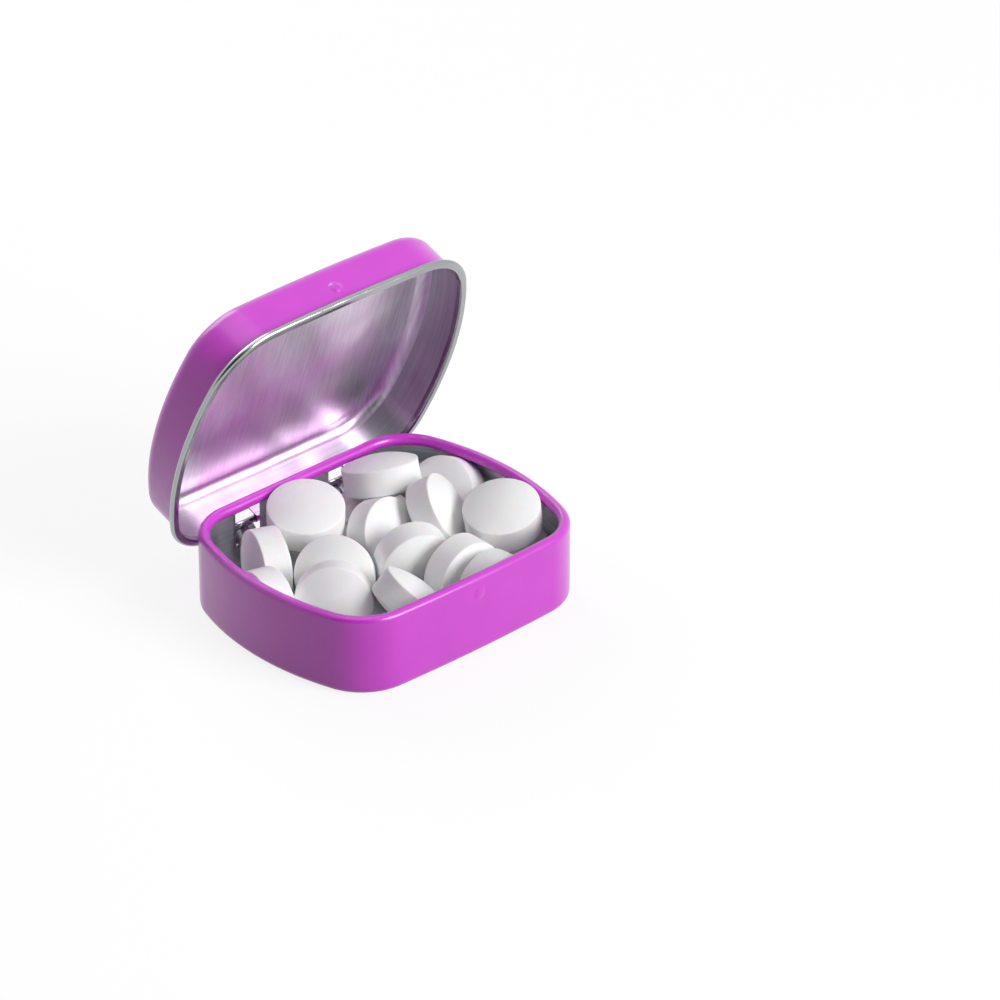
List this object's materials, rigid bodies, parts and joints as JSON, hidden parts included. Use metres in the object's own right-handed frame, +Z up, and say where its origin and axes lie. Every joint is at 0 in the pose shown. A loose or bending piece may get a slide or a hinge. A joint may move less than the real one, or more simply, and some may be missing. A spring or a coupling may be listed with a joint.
{
  "type": "hinged mint tin",
  "caption": "Small rounded rectangular tinplate box with a hinged lid standing open, filled with fat round domed mints.",
  "frame": {"origin": "on the table, at the middle of the base's plan", "axes": "+X along the hinge, -Y to the front where the lid snaps shut, +Y to the hinge, +Z up"},
  "size_m": [0.062, 0.0565, 0.0564],
  "materials": {
    "lacquered_tinplate": "satin magenta lacquer outside, bare tinplate inside",
    "mint": "matte compressed sugar"
  },
  "bodies": {
    "base": {"tin_base": "lacquered_tinplate", "mint_01": "mint", "mint_02": "mint", "mint_03": "mint", "mint_04": "mint", "mint_05": "mint", "mint_06": "mint", "mint_07": "mint", "mint_08": "mint", "mint_09": "mint", "mint_10": "mint", "mint_11": "mint", "mint_12": "mint", "mint_13": "mint", "mint_14": "mint", "mint_15": "mint", "mint_16": "mint", "mint_17": "mint", "mint_18": "mint"},
    "lid": {"tin_lid": "lacquered_tinplate"}
  },
  "joints": [
    {"name": "lid_hinge", "type": "hinge", "parent": "base", "child": "lid", "pos_m": [0, 0.02492, 0.0077], "axis": [-1, 0, 0], "range_deg": [-70, 35]}
  ]
}
